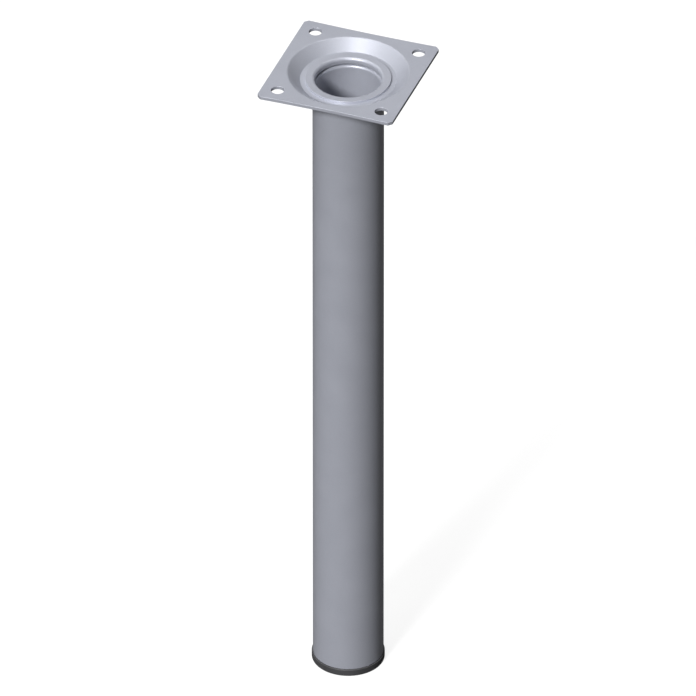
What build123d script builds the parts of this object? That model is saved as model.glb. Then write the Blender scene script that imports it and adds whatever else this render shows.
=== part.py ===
from build123d import *
from math import atan2, degrees, radians, tan
import os

# Whole leg: floor at z = 0, plate's top face at z = leg_height, tube on the Z axis
leg_height = 300.0

# Tube, its upper end folded under the plate and rolled over it
tube_diameter = 30.0
tube_wall = 1.0
tube_end_round = 0.3
rolled_flange_width = 3.0
flange_edge_round = 0.1
collar_width = 3.0
fold_radius = 0.2
fold_gap = 0.2

# Square plate of pressed sheet, with a round dish for the tube's rolled end
plate_thickness = 1.5
plate_border = 4.5
plate_corner_cut = 1.6
plate_corner_round = 0.5
plate_draw_in = 0.5
plate_edge_round = 0.1
screw_inset = 7.0
screw_hole_diameter = 5.5
dish_depth = 4.0
dish_wall_run = 5.3
dish_floor_margin = 2.2
press_outer_radius = 1.2
press_inner_radius = 0.4

# Plastic foot plug, pushed into the tube's lower end
plug_overhang = 0.5
plug_head_thickness = 3.2
plug_sole_round = 0.5
plug_rim_round = 0.3
plug_stem_length = 14.0
plug_stem_wall = 1.5
plug_lead_in = 0.8
ring_count = 4
ring_height = 1.25
ring_root = 1.4
ring_flank_angle = 78.0
ring_clearance = 0.05

# Radii from the axis outwards: bore, tube, rolled flange, dish, plate
tube_radius = tube_diameter / 2
bore_radius = tube_radius - tube_wall
neck_hole_radius = tube_radius + fold_radius
flange_radius = tube_radius + rolled_flange_width
dish_floor_radius = flange_radius + dish_floor_margin
dish_rim_radius = dish_floor_radius + dish_wall_run
half_plate = dish_rim_radius + plate_border

# Heights from the floor upwards
tube_foot = plug_head_thickness
plate_underside = leg_height - plate_thickness
dish_floor = leg_height - dish_depth
dish_underside = dish_floor - plate_thickness

# Pressed plate: the flat sheet first, its two free sides drawn in by the press
drawn_side = half_plate - plate_draw_in
screw_spacing = 2 * (half_plate - screw_inset)
dish_blank_radius = dish_rim_radius + plate_thickness
dish_wall_angle = degrees(atan2(dish_depth, dish_wall_run))
underside_shift = plate_thickness * tan(radians(dish_wall_angle / 2))
press_radii = [press_inner_radius, press_outer_radius]

with BuildPart() as mounting_plate:
    with BuildSketch(Plane.XY.offset(plate_underside)) as plate_outline:
        with BuildLine():
            Line((half_plate, -half_plate), (half_plate, half_plate))
            ThreePointArc((half_plate, half_plate), (0, drawn_side), (-half_plate, half_plate))
            Line((-half_plate, half_plate), (-half_plate, -half_plate))
            ThreePointArc((-half_plate, -half_plate), (0, -drawn_side), (half_plate, -half_plate))
        make_face()
        chamfer(plate_outline.vertices(), length=plate_corner_cut)
        fillet(plate_outline.vertices(), radius=plate_corner_round)
        with GridLocations(screw_spacing, screw_spacing, 2, 2):
            Circle(screw_hole_diameter / 2, mode=Mode.SUBTRACT)
    extrude(amount=plate_thickness)
    fillet(mounting_plate.faces().filter_by(Axis.Z).edges(), radius=plate_edge_round)
    with Locations((0, 0, leg_height)):
        Hole(dish_blank_radius)

    # The dish's wall in section, from the neck hole to the flat of the plate
    with BuildSketch(Plane.XZ):
        with BuildLine():
            upper_face = FilletPolyline(
                (neck_hole_radius, dish_floor),
                (dish_floor_radius, dish_floor),
                (dish_rim_radius, leg_height),
                (dish_blank_radius, leg_height),
                radius=press_radii,
            )
            lower_face = FilletPolyline(
                (neck_hole_radius, dish_underside),
                (dish_floor_radius + underside_shift, dish_underside),
                (dish_rim_radius + underside_shift, plate_underside),
                (dish_blank_radius, plate_underside),
                radius=press_radii[::-1],
            )
            Line(upper_face @ 0, lower_face @ 0)
            Line(upper_face @ 1, lower_face @ 1)
        make_face()
    revolve(axis=Axis.Z)

mounting_plate.part.label = "mounting_plate"

# Tube: under the plate its wall folds out and back into a flat collar, then runs up
# through the neck hole and rolls out over the dish's floor, so it grips the plate
bend_radius = fold_radius + tube_wall
flange_top = dish_floor + tube_wall
slit_top = dish_underside - tube_wall
slit_bottom = slit_top - fold_gap
collar_underside = slit_bottom - tube_wall
collar_radius = tube_radius + collar_width
fold_centre = collar_radius - (dish_underside - collar_underside) / 2

with BuildPart() as tube:
    with BuildSketch(Plane.XZ):
        with BuildLine():
            bore_face = FilletPolyline(
                (bore_radius, tube_foot),
                (bore_radius, slit_bottom),
                (fold_centre, slit_bottom),
                radius=bend_radius,
            )
            neck_face = FilletPolyline(
                (fold_centre, slit_top),
                (bore_radius, slit_top),
                (bore_radius, flange_top),
                (flange_radius, flange_top),
                (flange_radius, dish_floor),
                radius=[bend_radius, bend_radius, flange_edge_round],
            )
            gripped_face = FilletPolyline(
                (flange_radius, dish_floor),
                (tube_radius, dish_floor),
                (tube_radius, dish_underside),
                (fold_centre, dish_underside),
                radius=fold_radius,
            )
            outer_face = FilletPolyline(
                (fold_centre, collar_underside),
                (tube_radius, collar_underside),
                (tube_radius, tube_foot),
                (bore_radius, tube_foot),
                radius=[fold_radius, tube_end_round],
            )
            TangentArc(bore_face @ 1, neck_face @ 0, tangent=(1, 0))
            TangentArc(gripped_face @ 1, outer_face @ 0, tangent=(1, 0))
        make_face()
    revolve(axis=Axis.Z)

tube.part.label = "tube"

# Foot plug: round head under the tube, hollow stem with grip rings inside it
head_radius = tube_radius + plug_overhang
stem_radius = bore_radius - ring_clearance - ring_height
stem_bore_radius = stem_radius - plug_stem_wall
stem_top = plug_head_thickness + plug_stem_length
ringed_length = plug_stem_length - plug_lead_in
ring_middle = plug_head_thickness + ringed_length / 2

with BuildPart() as foot_plug:
    with BuildSketch(Plane.XZ):
        with BuildLine():
            head_face = FilletPolyline(
                (0, 0),
                (head_radius, 0),
                (head_radius, plug_head_thickness),
                (stem_radius, plug_head_thickness),
                radius=[plug_sole_round, plug_rim_round],
            )
            Polyline(
                head_face @ 1,
                (stem_radius, stem_top - plug_lead_in),
                (stem_radius - plug_lead_in, stem_top),
                (stem_bore_radius, stem_top),
                (stem_bore_radius, plug_head_thickness),
                (0, plug_head_thickness),
                head_face @ 0,
            )
        make_face()
        with Locations((stem_radius + ring_height / 2, ring_middle)):
            with GridLocations(ring_height, ringed_length / ring_count, 1, ring_count):
                Trapezoid(ring_root, ring_height, ring_flank_angle, rotation=-90)
    revolve(axis=Axis.Z)

foot_plug.part.label = "foot_plug"

os.makedirs("parts", exist_ok=True)
export_step(mounting_plate.part, "parts/mounting_plate.step")
export_step(tube.part, "parts/tube.step")
export_step(foot_plug.part, "parts/foot_plug.step")
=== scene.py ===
import bpy
from math import cos, radians, sin
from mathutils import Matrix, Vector

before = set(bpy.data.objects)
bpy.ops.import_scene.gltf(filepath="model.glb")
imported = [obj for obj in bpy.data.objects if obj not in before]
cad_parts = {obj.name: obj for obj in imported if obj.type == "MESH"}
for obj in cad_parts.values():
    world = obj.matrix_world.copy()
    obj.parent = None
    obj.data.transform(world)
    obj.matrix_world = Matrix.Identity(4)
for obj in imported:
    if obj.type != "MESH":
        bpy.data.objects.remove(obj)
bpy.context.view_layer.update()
mm = 0.001
fineDetail, cloudDetail = 2.0, 3.0
noiseSpan = (0.3, 0.7)


def newMaterial(name):
    material = bpy.data.materials.new(name)
    material.use_nodes = True
    nodes, links = material.node_tree.nodes, material.node_tree.links
    nodes.clear()
    output = nodes.new("ShaderNodeOutputMaterial")
    return material, nodes, links, output


def noise(nodes, links, coordinates, size, detail=fineDetail):
    texture = nodes.new("ShaderNodeTexNoise")
    texture.inputs["Scale"].default_value = 1 / size
    texture.inputs["Detail"].default_value = detail
    links.new(coordinates.outputs["Object"], texture.inputs["Vector"])
    return texture.outputs["Fac"]


def mapped(nodes, links, value, low, high):
    # noise seldom leaves noiseSpan, so that span is stretched over low to high
    span = nodes.new("ShaderNodeMapRange")
    span.inputs["From Min"].default_value = noiseSpan[0]
    span.inputs["From Max"].default_value = noiseSpan[1]
    span.inputs["To Min"].default_value = low
    span.inputs["To Max"].default_value = high
    links.new(value, span.inputs["Value"])
    return span.outputs["Result"]


# Powder coat
paint = {
    "dark": (0.385, 0.400, 0.460, 1),
    "light": (0.470, 0.486, 0.548, 1),
    "roughness": (0.42, 0.48),
    "specular": 0.5,
    "metallic": 0.3,
    "coat": 1.0,
    "coatRoughness": 0.4,
    "flakeSize": 0.18 * mm,
    "flakeShare": 0.75,
    "cloudSize": 14 * mm,
    "peelSize": 1.6 * mm,
    "peelHeight": 0.02 * mm,
}


def makePaint():
    material, nodes, links, output = newMaterial("silverPowderCoat")
    shader = nodes.new("ShaderNodeBsdfPrincipled")
    coordinates = nodes.new("ShaderNodeTexCoord")
    flakes = noise(nodes, links, coordinates, paint["flakeSize"])
    clouds = noise(nodes, links, coordinates, paint["cloudSize"], cloudDetail)
    peel = noise(nodes, links, coordinates, paint["peelSize"])
    both = nodes.new("ShaderNodeMath")
    both.operation = "ADD"
    flakeShare, cloudShare = paint["flakeShare"], 1 - paint["flakeShare"]
    links.new(mapped(nodes, links, flakes, 0, flakeShare), both.inputs[0])
    links.new(mapped(nodes, links, clouds, 0, cloudShare), both.inputs[1])
    tone = nodes.new("ShaderNodeMix")
    tone.data_type = "RGBA"
    tone.inputs["A"].default_value = paint["dark"]
    tone.inputs["B"].default_value = paint["light"]
    links.new(both.outputs["Value"], tone.inputs["Factor"])
    links.new(tone.outputs["Result"], shader.inputs["Base Color"])
    gloss = mapped(nodes, links, clouds, *paint["roughness"])
    links.new(gloss, shader.inputs["Roughness"])
    bump = nodes.new("ShaderNodeBump")
    bump.inputs["Distance"].default_value = paint["peelHeight"]
    links.new(peel, bump.inputs["Height"])
    links.new(bump.outputs["Normal"], shader.inputs["Normal"])
    links.new(bump.outputs["Normal"], shader.inputs["Coat Normal"])
    shader.inputs["Metallic"].default_value = paint["metallic"]
    shader.inputs["Coat Weight"].default_value = paint["coat"]
    shader.inputs["Coat Roughness"].default_value = paint["coatRoughness"]
    shader.inputs["Specular IOR Level"].default_value = paint["specular"]
    links.new(shader.outputs["BSDF"], output.inputs["Surface"])
    return material


# Moulded plastic
plastic = {
    "dark": (0.049, 0.049, 0.052, 1),
    "light": (0.066, 0.066, 0.070, 1),
    "roughness": (0.45, 0.58),
    "specular": 0.4,
    "cloudSize": 6 * mm,
    "grainSize": 0.35 * mm,
    "grainHeight": 0.012 * mm,
}


def makePlastic():
    material, nodes, links, output = newMaterial("blackPlugPlastic")
    shader = nodes.new("ShaderNodeBsdfPrincipled")
    coordinates = nodes.new("ShaderNodeTexCoord")
    clouds = noise(nodes, links, coordinates, plastic["cloudSize"], cloudDetail)
    grain = noise(nodes, links, coordinates, plastic["grainSize"])
    tone = nodes.new("ShaderNodeMix")
    tone.data_type = "RGBA"
    tone.inputs["A"].default_value = plastic["dark"]
    tone.inputs["B"].default_value = plastic["light"]
    links.new(mapped(nodes, links, clouds, 0, 1), tone.inputs["Factor"])
    links.new(tone.outputs["Result"], shader.inputs["Base Color"])
    gloss = mapped(nodes, links, grain, *plastic["roughness"])
    links.new(gloss, shader.inputs["Roughness"])
    bump = nodes.new("ShaderNodeBump")
    bump.inputs["Distance"].default_value = plastic["grainHeight"]
    links.new(grain, bump.inputs["Height"])
    links.new(bump.outputs["Normal"], shader.inputs["Normal"])
    shader.inputs["Specular IOR Level"].default_value = plastic["specular"]
    links.new(shader.outputs["BSDF"], output.inputs["Surface"])
    return material


silverPaint = makePaint()
blackPlastic = makePlastic()
made = {"mounting_plate": silverPaint, "tube": silverPaint, "foot_plug": blackPlastic}
for node, material in made.items():
    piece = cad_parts[node]
    piece.data.materials.clear()
    piece.data.materials.append(material)
print("materials: powder coat and plastic")


def towards(azimuth, elevation):
    # unit vector from the leg to what stands at that azimuth and elevation
    a, e = radians(azimuth), radians(elevation)
    return Vector((sin(a) * cos(e), -cos(a) * cos(e), sin(e)))


# Camera: a very long lens, so the leg's sides stay parallel
view = {
    "azimuth": 20,
    "elevation": 35,
    "aimHeight": 158.9 * mm,
    "aimRight": -0.114 * mm,
    "frameWidth": 292.84 * mm,
    "lens": 1500,
    "sensor": 36,
    "clipNear": 0.1,
    "clipFar": 100,
}


def makeCamera():
    lens = bpy.data.cameras.new("camera")
    lens.lens = view["lens"]
    lens.sensor_width = view["sensor"]
    distance = view["frameWidth"] * view["lens"] / view["sensor"]
    lens.clip_start = distance * view["clipNear"]
    lens.clip_end = distance * view["clipFar"]
    camera = bpy.data.objects.new("camera", lens)
    back = towards(view["azimuth"], view["elevation"])
    right = towards(view["azimuth"] + 90, 0)
    aim = Vector((0, 0, view["aimHeight"])) + right * view["aimRight"]
    camera.location = aim + back * distance
    camera.rotation_euler = back.to_track_quat("Z", "Y").to_euler()
    bpy.context.collection.objects.link(camera)
    bpy.context.scene.camera = camera


# Lamps: key about level with the camera, one high for the dish's gleam, two broad from above, and
# one behind, almost level. It lights the tube's back, only grazes the plate and leaves no gleam
lamps = {
    "key": {"azimuth": -8, "elevation": 37, "strength": 3.7, "softness": 11, "gleams": True},
    "gleam": {"azimuth": -28, "elevation": 74, "strength": 0.54, "softness": 12, "gleams": True},
    "top": {"azimuth": 0, "elevation": 90, "strength": 0.5, "softness": 40, "gleams": True},
    "above": {"azimuth": 250, "elevation": 60, "strength": 0.77, "softness": 60, "gleams": True},
    "behind": {"azimuth": 190, "elevation": 2, "strength": 2.4, "softness": 4, "gleams": False},
}


def makeLamps():
    for name, lamp in lamps.items():
        light = bpy.data.lights.new(name, "SUN")
        light.energy = lamp["strength"]
        light.angle = radians(lamp["softness"])
        holder = bpy.data.objects.new(name, light)
        back = towards(lamp["azimuth"], lamp["elevation"])
        holder.rotation_euler = back.to_track_quat("Z", "Y").to_euler()
        holder.visible_glossy = lamp["gleams"]
        bpy.context.collection.objects.link(holder)


# Floor and world: white where the camera looks, dim where they would light the leg or show in it
studio = {
    "white": (1, 1, 1, 1),
    "whiteStrength": 1,
    "floorSize": 60,
    "floorDrop": 0.05 * mm,
    "fill": 0.045,
    "mirrored": 0.03,
    "floorGlow": 0.86,
    "floorWhite": 0.18,
    "floorBounce": 0.06,
}


def grey(level):
    return (level, level, level, 1)


def seenShare(nodes, links, mirrored):
    # 1 for what the camera sees directly, mirrored for what a glossy or clear surface shows
    path = nodes.new("ShaderNodeLightPath")
    seen = nodes.new("ShaderNodeMath")
    seen.operation = "MAXIMUM"
    links.new(path.outputs["Is Camera Ray"], seen.inputs[0])
    shown = nodes.new("ShaderNodeMath")
    shown.operation = "MAXIMUM"
    links.new(path.outputs["Is Glossy Ray"], shown.inputs[0])
    links.new(path.outputs["Is Transmission Ray"], shown.inputs[1])
    dimmed = nodes.new("ShaderNodeMath")
    dimmed.operation = "MULTIPLY"
    links.new(shown.outputs["Value"], dimmed.inputs[0])
    dimmed.inputs[1].default_value = mirrored
    links.new(dimmed.outputs["Value"], seen.inputs[1])
    return seen


def makeFloor():
    size = studio["floorSize"]
    bpy.ops.mesh.primitive_plane_add(size=size, location=(0, 0, -studio["floorDrop"]))
    floor = bpy.context.object
    floor.name = "floor"
    material, nodes, links, output = newMaterial("whiteFloor")
    bounce = nodes.new("ShaderNodeBsdfDiffuse")
    bounce.inputs["Color"].default_value = grey(studio["floorBounce"])
    white = nodes.new("ShaderNodeBsdfDiffuse")
    white.inputs["Color"].default_value = grey(studio["floorWhite"])
    glow = nodes.new("ShaderNodeEmission")
    glow.inputs["Strength"].default_value = studio["floorGlow"]
    lit = nodes.new("ShaderNodeAddShader")
    links.new(white.outputs["BSDF"], lit.inputs[0])
    links.new(glow.outputs["Emission"], lit.inputs[1])
    mix = nodes.new("ShaderNodeMixShader")
    seen = seenShare(nodes, links, studio["mirrored"])
    links.new(seen.outputs["Value"], mix.inputs["Fac"])
    links.new(bounce.outputs["BSDF"], mix.inputs[1])
    links.new(lit.outputs["Shader"], mix.inputs[2])
    links.new(mix.outputs["Shader"], output.inputs["Surface"])
    floor.data.materials.append(material)


def makeWorld():
    world = bpy.data.worlds.new("studio")
    bpy.context.scene.world = world
    world.use_nodes = True
    nodes, links = world.node_tree.nodes, world.node_tree.links
    nodes.clear()
    output = nodes.new("ShaderNodeOutputWorld")
    background = nodes.new("ShaderNodeBackground")
    strength = nodes.new("ShaderNodeMapRange")
    strength.inputs["To Min"].default_value = studio["fill"]
    strength.inputs["To Max"].default_value = studio["whiteStrength"]
    seen = seenShare(nodes, links, studio["mirrored"])
    links.new(seen.outputs["Value"], strength.inputs["Value"])
    links.new(strength.outputs["Result"], background.inputs["Strength"])
    background.inputs["Color"].default_value = studio["white"]
    links.new(background.outputs["Background"], output.inputs["Surface"])


makeCamera()
makeLamps()
makeFloor()
makeWorld()
bpy.context.scene.view_settings.view_transform = "Standard"
print("camera, lamps, floor and world")
